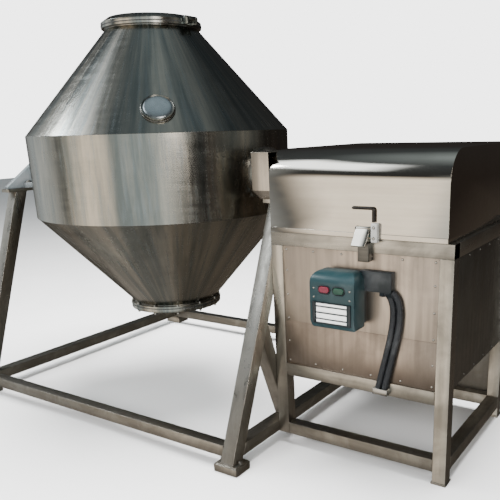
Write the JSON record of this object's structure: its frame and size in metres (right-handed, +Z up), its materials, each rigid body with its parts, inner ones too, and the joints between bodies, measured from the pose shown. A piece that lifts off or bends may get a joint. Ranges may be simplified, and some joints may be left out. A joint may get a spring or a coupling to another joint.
{
  "type": "double cone blender",
  "caption": "Double-cone tumbling blender: a flanged vessel turns on trunnions between two leg stands, driven from a cabinet at one side.",
  "frame": {"origin": "on the floor, under the middle of the whole machine's box", "axes": "+Z up, +X along the vessel's shaft towards the drive cabinet, -Y towards the front"},
  "size_m": [2.01, 1.2436, 1.4283],
  "materials": {
    "satin_steel": "satin",
    "panel_steel": "brushed",
    "cover_steel": "polished",
    "vessel_steel": "polished",
    "shaft_steel": "machined",
    "bearing_iron": "painted",
    "drive_paint": "gloss",
    "belt_rubber": "matte",
    "conduit_plastic": "ribbed",
    "starter_plastic": "satin",
    "start_plastic": "satin",
    "stop_plastic": "satin"
  },
  "bodies": {
    "stand": {"base_cross_rails": "satin_steel", "base_side_rails": "satin_steel", "left_front_leg": "satin_steel", "left_rear_leg": "satin_steel", "right_front_leg": "satin_steel", "right_rear_leg": "satin_steel", "knee_brace": "satin_steel", "bearing_seats": "satin_steel", "front_posts": "satin_steel", "back_posts": "satin_steel", "low_cross_rails": "satin_steel", "low_side_rail": "satin_steel", "panel_rail": "satin_steel", "top_cross_rails": "satin_steel", "top_side_rails": "satin_steel", "drive_shelf": "satin_steel", "gearbox_beams": "satin_steel", "cover_end_plate": "satin_steel", "front_panel": "panel_steel", "side_panels": "panel_steel", "back_panel": "panel_steel", "bearing_guard": "panel_steel", "latch_keeper": "cover_steel", "cover_hinges": "cover_steel", "bearing_bolts": "shaft_steel", "conduit_clip": "shaft_steel", "left_bearing": "bearing_iron", "right_bearing": "bearing_iron", "gearbox": "drive_paint", "motor": "drive_paint", "motor_cowl": "drive_paint", "cowl_grille": "drive_paint", "v_belt": "belt_rubber", "conduits": "conduit_plastic", "starter_box": "starter_plastic", "starter_cover": "starter_plastic"},
    "vessel": {"upper_cone": "vessel_steel", "vessel_belt": "vessel_steel", "lower_cone": "vessel_steel", "left_trunnion": "shaft_steel", "right_trunnion": "shaft_steel", "shaft_coupling": "shaft_steel", "sight_port": "vessel_steel", "lid_ears": "vessel_steel", "discharge_plate": "vessel_steel", "valve_body": "vessel_steel"},
    "lid": {"charging_lid": "vessel_steel"},
    "valve": {"valve_disc": "vessel_steel", "valve_lever": "vessel_steel"},
    "worm": {"worm_shaft": "shaft_steel"},
    "rotor": {"motor_rotor": "shaft_steel"},
    "cover": {"drive_cover": "cover_steel", "cover_hook": "cover_steel", "latch_hinge": "cover_steel"},
    "latch": {"latch_flap": "cover_steel"},
    "start": {"start_button": "start_plastic"},
    "stop": {"stop_button": "stop_plastic"}
  },
  "joints": [
    {"name": "vessel_spin", "type": "hinge", "parent": "stand", "child": "vessel", "pos_m": [-0.227, -0.15028, 0.9], "axis": [1, 0, 0], "continuous": true},
    {"name": "worm_spin", "type": "hinge", "parent": "stand", "child": "worm", "pos_m": [0.648, -0.26728, 0.82], "axis": [0, 1, 0], "continuous": true},
    {"name": "motor_spin", "type": "hinge", "parent": "stand", "child": "rotor", "pos_m": [0.648, -0.26728, 0.406], "axis": [0, 1, 0], "continuous": true},
    {"name": "lid_hinge", "type": "hinge", "parent": "vessel", "child": "lid", "pos_m": [-0.04, -0.15028, 1.412], "axis": [0, 1, 0], "range_deg": [0, 110]},
    {"name": "valve_turn", "type": "hinge", "parent": "vessel", "child": "valve", "pos_m": [-0.227, -0.15028, 0.364], "axis": [0, -1, 0], "range_deg": [0, 90]},
    {"name": "cover_hinge", "type": "hinge", "parent": "stand", "child": "cover", "pos_m": [0.693, 0.25802, 0.726], "axis": [-1, 0, 0], "range_deg": [0, 95]},
    {"name": "latch_turn", "type": "hinge", "parent": "cover", "child": "latch", "pos_m": [0.736, -0.36358, 0.7658], "axis": [-1, 0, 0], "range_deg": [0, 100]},
    {"name": "start_press", "type": "slide", "parent": "stand", "child": "start", "axis": [0, 1, 0], "range_m": [0, 0.004], "stiffness_N_per_m": 300},
    {"name": "stop_press", "type": "slide", "parent": "stand", "child": "stop", "axis": [0, 1, 0], "range_m": [0, 0.004], "stiffness_N_per_m": 300}
  ],
  "couplings": [
    {"joint": "worm_spin", "follows": "vessel_spin", "ratio": 40},
    {"joint": "motor_spin", "follows": "vessel_spin", "ratio": 80}
  ]
}
